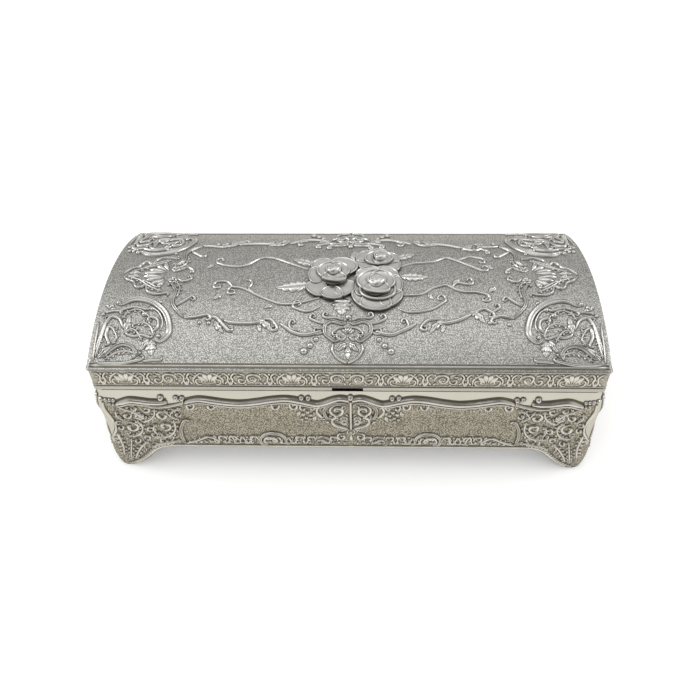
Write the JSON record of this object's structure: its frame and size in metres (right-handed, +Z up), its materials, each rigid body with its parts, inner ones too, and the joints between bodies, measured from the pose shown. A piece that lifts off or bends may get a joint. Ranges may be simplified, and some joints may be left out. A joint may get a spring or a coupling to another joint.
{
  "type": "jewellery casket",
  "caption": "Silver-plated jewellery casket with a hinged domed lid, raised scrolls and roses, bracket feet and a velvet lining.",
  "frame": {"origin": "on the surface that the feet stand on, under the middle of the box", "axes": "+X along the front, +Y from the front to the hinges, +Z up"},
  "size_m": [0.1826, 0.0836, 0.065],
  "materials": {
    "silver_plate": "silver plate over cast zinc alloy, polished where raised, finely stippled in the grounds",
    "plate_steel": "plain zinc-coated sheet",
    "steel": "bright steel pins and screws",
    "velvet": "dark blue short-pile velvet on card"
  },
  "bodies": {
    "base": {"base_casting": "silver_plate", "bottom_plate": "plate_steel", "bottom_screw_1": "steel", "bottom_screw_2": "steel", "bottom_screw_3": "steel", "bottom_screw_4": "steel", "base_lining_floor": "velvet", "base_lining_front": "velvet", "base_lining_back": "velvet", "base_lining_left": "velvet", "base_lining_right": "velvet", "hinge_pin_left": "steel", "hinge_pin_right": "steel"},
    "lid": {"lid_casting": "silver_plate", "lid_lining_crown": "velvet", "lid_lining_front": "velvet", "lid_lining_back": "velvet", "lid_lining_left": "velvet", "lid_lining_right": "velvet"}
  },
  "joints": [
    {"name": "lid_hinge", "type": "hinge", "parent": "base", "child": "lid", "pos_m": [0, 0.039, 0.04155], "axis": [-1, 0, 0], "range_deg": [0, 100]}
  ]
}
